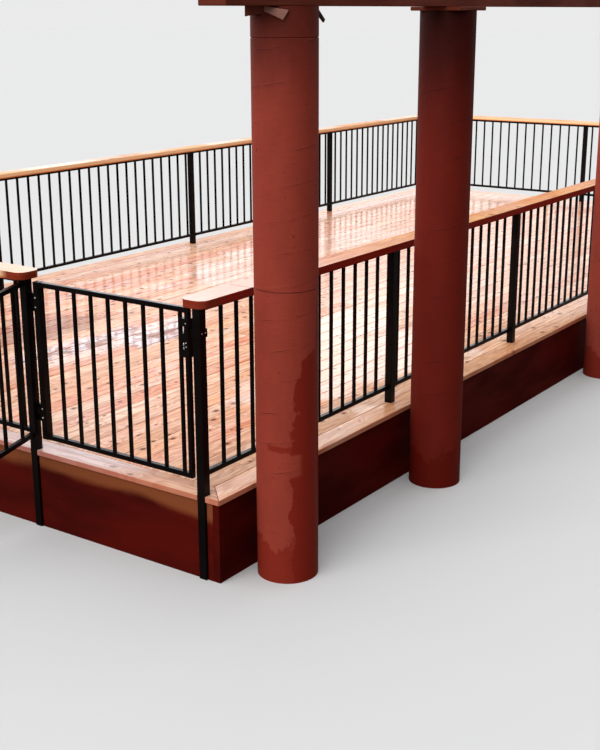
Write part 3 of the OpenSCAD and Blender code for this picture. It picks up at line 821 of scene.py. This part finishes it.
def weld_bead(bm, centre, axis, radius):
    """A rippled fillet of weld round a rail's end, in the plane across an axis."""
    first = Vector((0, 1, 0)) if abs(axis[0]) > 0.5 else Vector((1, 0, 0))
    second = Vector((0, 0, 1))
    corners = [(-1, -1), (1, -1), (1, 1), (-1, 1)]
    side = BEAD_LENGTHS // len(corners)
    loops = []
    for k in range(BEAD_LENGTHS):
        a = corners[k // side]
        b = corners[(k // side + 1) % len(corners)]
        t = (k % side) / side
        offset = first * (a[0] + (b[0] - a[0]) * t) + second * (a[1] + (b[1] - a[1]) * t)
        middle = Vector(centre) + offset * HALF_RAIL
        out = (middle - Vector(centre)).normalized()
        size = radius * (1 + BEAD_RIPPLE if k % 2 else 1 - BEAD_RIPPLE)
        loops.append([bm.verts.new(middle + (out * math.cos(r) + Vector(axis) * math.sin(r)) * size)
                      for r in (math.tau * j / BEAD_SIDES for j in range(BEAD_SIDES))])
    for a, b in zip(loops, loops[1:] + loops[:1]):
        for j in range(BEAD_SIDES):
            following = (j + 1) % BEAD_SIDES
            bm.faces.new((a[j], a[following], b[following], b[j]))


def panel_welds(material):
    """Weld beads where each guard panel's rails meet their posts."""
    bm = bmesh.new()
    for name in nodes:
        if "panel" not in name or name == "wing_panel":
            continue
        low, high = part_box(name)
        middle = (low + high) / 2
        lies_x = high.x - low.x > high.y - low.y
        axis = (1, 0, 0) if lies_x else (0, 1, 0)
        for z in (low.z + HALF_RAIL, high.z - HALF_RAIL):
            for end in (low, high):
                place = (end.x, middle.y, z) if lies_x else (middle.x, end.y, z)
                weld_bead(bm, place, axis, PANEL_BEAD_R)
    made_piece("panel_welds", bm, material)


def gate_welds(material):
    """Weld beads where the gate's rails meet its stiles."""
    bm = bmesh.new()
    for z in (gate_low.z + HALF_RAIL, gate_high.z - HALF_RAIL):
        for y in (gate_low.y + LATCH_STILE, gate_high.y - HINGE_STILE):
            weld_bead(bm, (gate_x, y, z), (0, 1, 0), GATE_BEAD_R)
    made_piece("gate_welds", bm, material, "gate")


def hinge_fixings(material):
    """Bolt heads on the gate's stile by its hinges, and domed ends on the hinges' pins."""
    gate_bm = bmesh.new()
    post_bm = bmesh.new()
    low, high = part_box("post_hinges")
    bolt_y = gate_high.y - BOLT_INSET
    pin_y = low.y + BARREL_R
    for middle_z in (low.z + HALF_BARREL, high.z - HALF_BARREL):
        for side in (-1, 1):
            bolt_z = middle_z + side * BOLT_SPREAD
            dome_head(gate_bm, (gate_low.x, bolt_y, bolt_z), *BOLT_HEAD, (-1, 0, 0))
            dome_head(gate_bm, (gate_high.x, bolt_y, bolt_z), *BOLT_HEAD, (1, 0, 0))
            pin_end = (gate_x, pin_y, middle_z + side * HALF_BARREL)
            dome_head(post_bm, pin_end, BARREL_R, PIN_END_RISE, (0, 0, side))
    made_piece("gate_hinge_bolts", gate_bm, material, "gate")
    made_piece("hinge_pin_ends", post_bm, material)


def latch_fixings(material):
    """Screws in the latch's channel on the gate and in the keeper's collar on the post."""
    low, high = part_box("gate_latch")
    channel_y = gate_low.y + LATCH_STILE / 2
    bm = bmesh.new()
    for height in LATCH_SCREWS:
        dome_head(bm, (low.x, channel_y, deck_top + height), *SCREW_HEAD, (-1, 0, 0))
        dome_head(bm, (high.x, channel_y, deck_top + height), *SCREW_HEAD, (1, 0, 0))
    made_piece("latch_screws", bm, material, "gate")
    low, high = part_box("latch_keeper")
    middle = (low + high) / 2
    bm = bmesh.new()
    for side in (-1, 1):
        dome_head(bm, (middle.x + side * KEEPER_SPREAD, low.y, middle.z), *SCREW_HEAD, (0, -1, 0))
    made_piece("keeper_screws", bm, material)


# Stage

# The photograph's camera: its place from the gate's plane, the near guard and the deck's top, its turns
# in radians, and its focal length in the photo's pixels
EYE = (-4.0858, -3.4307, 2.1689)
YAW = 0.6112
PITCH = 0.2910
ROLL = 0.0030
FOCAL_PX = 1210.93
PHOTO_H = 750
SENSOR = 36.0
FARTHEST_SEEN = 300.0


def camera():
    """The photograph's viewpoint, fitted to its balusters, rails and deck edges."""
    eye = Vector((gate_x + EYE[0], near_y + EYE[1], deck_top + EYE[2]))
    forward = Vector((math.cos(YAW) * math.cos(PITCH), math.sin(YAW) * math.cos(PITCH), -math.sin(PITCH)))
    right = Vector((math.sin(YAW), -math.cos(YAW), 0.0))
    down = forward.cross(right)
    right, down = (math.cos(ROLL) * right + math.sin(ROLL) * down,
                   math.cos(ROLL) * down - math.sin(ROLL) * right)
    data = bpy.data.cameras.new("camera")
    data.sensor_width = SENSOR
    data.lens = FOCAL_PX / PHOTO_H * SENSOR
    data.clip_end = FARTHEST_SEEN
    seen = bpy.data.objects.new("camera", data)
    turn = Matrix((right, -down, -forward)).transposed()
    seen.matrix_world = Matrix.Translation(eye) @ turn.to_4x4()
    bpy.context.scene.collection.objects.link(seen)
    bpy.context.scene.camera = seen


# What the studio shows to the camera: its floor and what is behind the piece
PALE_FLOOR = (0.623, 0.621, 0.618)
BACKDROP = (0.823, 0.825, 0.825)
FLOOR_REACH = 150.0
# What it gives to the piece: light from the floor, from above, from two sides and from beyond the deck
DIM_FLOOR = (0.14, 0.12, 0.105)
ZENITH = (0.98, 1.00, 1.02)
DIM_SIDE = (0.11, 0.10, 0.095)
BRIGHT_SIDE = (1.15, 1.13, 1.12)
BRIGHT_WAY = (-0.60, 0.80, 0.0)
BEYOND = (1.85, 1.83, 1.84)
BEYOND_WAY = (0.82, 0.57, 0.0)
# Two brighter patches low ahead, which the wet deck throws back: the way to each, the cosines between
# which it fades in, and its light
PATCHES = [((0.701, 0.665, 0.259), (0.9955, 0.9990), (3.4, 3.6, 3.95)),
           ((0.8087, 0.5152, 0.2840), (0.9925, 0.9976), (2.90, 2.88, 2.82))]
# The key's way, power and width
KEY_WAY = (0.85, 0.05, -0.60)
KEY_POWER = 1.9
KEY_WIDTH = math.radians(60)


def floor():
    """A plain pale floor at the model's foot, which throws little light back."""
    mesh = bpy.data.meshes.new("floor")
    corners = [(x * FLOOR_REACH, y * FLOOR_REACH, 0) for x, y in ((-1, -1), (1, -1), (1, 1), (-1, 1))]
    mesh.from_pydata(corners, [], [(0, 1, 2, 3)])
    plane = bpy.data.objects.new("floor", mesh)
    bpy.context.scene.collection.objects.link(plane)
    g = Graph(bpy.data.materials.new("floor"))
    seen = g.add("LightPath", {}, output="Is Camera Ray")
    mesh.materials.append(g.finish(g.mix(seen, DIM_FLOOR, PALE_FLOOR), 0.9, specular=0.0))


def light():
    """A soft dome, brightest above and to the photo's left and back, and a broad key from the left."""
    scene = bpy.context.scene
    scene.world = bpy.data.worlds.new("studio")
    g = Graph(scene.world)
    direction = g.add("TexCoord", {}, output="Generated")
    height = g.add("SeparateXYZ", {0: direction}, output=2)
    around = g.mix(g.step(g.towards(direction, BRIGHT_WAY), -0.60, 0.70), DIM_SIDE, BRIGHT_SIDE)
    low_band = g.math("MULTIPLY", g.step(height, 0.03, 0.14), g.step(height, 0.80, 0.45))
    ahead = g.step(g.towards(direction, BEYOND_WAY), 0.25, 0.80)
    around = g.mix(g.math("MULTIPLY", ahead, low_band), around, BEYOND)
    dome = g.mix(g.step(height, 0.35, 0.80), around, ZENITH)
    for way, cosines, shine in PATCHES:
        dome = g.mix(g.step(g.towards(direction, way), *cosines), dome, shine)
    seen = g.add("LightPath", {}, output="Is Camera Ray")
    background = g.tree.nodes["Background"]
    g.put(background.inputs["Color"], g.mix(seen, dome, BACKDROP))
    background.inputs["Strength"].default_value = 1.0
    key = bpy.data.lights.new("key", "SUN")
    key.energy = KEY_POWER
    key.angle = KEY_WIDTH
    lamp = bpy.data.objects.new("key", key)
    lamp.rotation_euler = Vector(KEY_WAY).to_track_quat("-Z", "Y").to_euler()
    scene.collection.objects.link(lamp)
    scene.view_settings.view_transform = "Standard"


# Colours of the pieces

# Caps: sides, their lower edge and their ends; the near cap's maroon sides are painted shade on wet wood,
# and every lower edge's colour is painted shade
MAROON_SHADE = (0.260, 0.015, 0.008)
BRICK_BROWN = (0.210, 0.024, 0.009)
ORANGE_EDGE_SHADE = (0.70, 0.26, 0.090)
CREAM_SIDE = (0.97, 0.64, 0.37)
# The near cap's first tint paints a pinkish pale sheen at its start
NEAR_CAP_TINTS = ((0.83, 0.74, 0.82), (0.78, 0.57, 0.20))
# Rims and beam, each with its darker places; the rims' red is painted far darker than their paint, as
# painted shade
SHADED_RIM_RED = (0.080, 0.0042, 0.0022)
SHADED_RIM_DARKER = (0.045, 0.0020, 0.0012)
GATE_RIM_TOP = (0.20, 0.055, 0.020)
BEAM_RED = (0.165, 0.034, 0.018)
BEAM_SHADE = (0.10, 0.018, 0.010)
# Columns, dry and wet; the middle column's darker copies of the paint are painted shade, the right one's
# paler copy painted light
BRICK = (0.280, 0.040, 0.024)
WET_BRICK = (0.180, 0.011, 0.005)
SHADED_BRICK = (0.152, 0.0120, 0.0062)
SHADED_WET_BRICK = (0.105, 0.0055, 0.0030)
LIT_BRICK = (0.30, 0.048, 0.030)
# The bits at the first column's top, each with its darker places
RED_SCRAP = ((0.20, 0.050, 0.030), (0.12, 0.028, 0.016))
PALE_SCRAP = ((0.34, 0.17, 0.13), (0.24, 0.10, 0.08))
DARK_SCRAP = ((0.03, 0.012, 0.010), (0.015, 0.006, 0.005))

# The near cap's butt joint, from the gate's plane
NEAR_CAP_JOINT = 0.319
# Each column's winding seam: its pitch, and one height over the deck with the turn there
LEFT_SEAM = (0.146, 1.166, -2.398)
MIDDLE_SEAM = (0.184, 1.200, 2.101)
RIGHT_SEAM = (0.180, 0.786, 1.944)
LEVEL_SEAM = 0.984
# How far the CAD pieces' edges are eased, and in how many steps the caps' are
CAP_EASE = 0.007
CAP_STEPS = 4
BEAM_EASE = 0.004
BORDER_EASE = 0.003
RIM_EASE = 0.002
STEEL_EASE = 0.002
# Words in the names of the steel pieces
STEEL_WORDS = ("post", "panel", "gate_frame", "gate_bal", "hinges", "latch")

camera()
floor()
light()

steel = black_steel()
metal = bare_metal()

deck_boards()
deck_screws(metal)
soften("border_boards", BORDER_EASE)
paint("border_boards", border_wood())

for name in ("near_cap", "far_cap", "end_cap", "side_cap"):
    soften(name, CAP_EASE, CAP_STEPS)
paint("near_cap", cap_wood("near_cap", "X", MAROON_SHADE, MAROON_SHADE, BRICK_BROWN, bleached=0.10, gloss=(0.34, 0.05),
                           joint=gate_x + NEAR_CAP_JOINT, tints=NEAR_CAP_TINTS))
paint("far_cap", cap_wood("far_cap", "X", CREAM_SIDE, ORANGE_EDGE_SHADE, CREAM_SIDE, bleached=0.9,
                          gloss=(0.95, 0.95)))
paint("end_cap", cap_wood("end_cap", "Y", CREAM_SIDE, ORANGE_EDGE_SHADE, CREAM_SIDE, bleached=0.6,
                          gloss=(0.8, 0.8)))
paint("side_cap", cap_wood("side_cap", "Y", CREAM_SIDE, ORANGE_EDGE_SHADE, BRICK_BROWN))

timber = frame_wood()
for name in ("joists", "sleepers"):
    paint(name, timber)

for name, axis in (("near_rim", "X"), ("far_rim", "X"), ("gate_rim", "Y"), ("end_rim", "Y")):
    soften(name, RIM_EASE)
    top = GATE_RIM_TOP if name == "gate_rim" else None
    paint(name, painted_timber(name + "_paint", SHADED_RIM_RED, SHADED_RIM_DARKER, axis, top))

for name in ("beam", "bearing_plates"):
    soften(name, BEAM_EASE)
    paint(name, painted_timber(name + "_paint", BEAM_RED, BEAM_SHADE))

paint("left_column", column_paint("left_column", BRICK, WET_BRICK, LEFT_SEAM, stained=True,
                                  level_seam=LEVEL_SEAM))
paint("middle_column", column_paint("middle_column", SHADED_BRICK, SHADED_WET_BRICK, MIDDLE_SEAM,
                                    top_shade_depth=0.85, top_shade=0.08))
paint("right_column", column_paint("right_column", LIT_BRICK, WET_BRICK, RIGHT_SEAM))

column_shims((painted_timber("scrap_paint", *RED_SCRAP), painted_timber("pale_scrap_wood", *PALE_SCRAP),
              painted_timber("dark_scrap_wood", *DARK_SCRAP)))
hinge_fixings(metal)
latch_fixings(metal)
panel_welds(steel)
gate_welds(steel)

for name in nodes:
    if any(word in name for word in STEEL_WORDS):
        if "hinges" not in name:
            soften(name, STEEL_EASE)
        paint(name, steel)
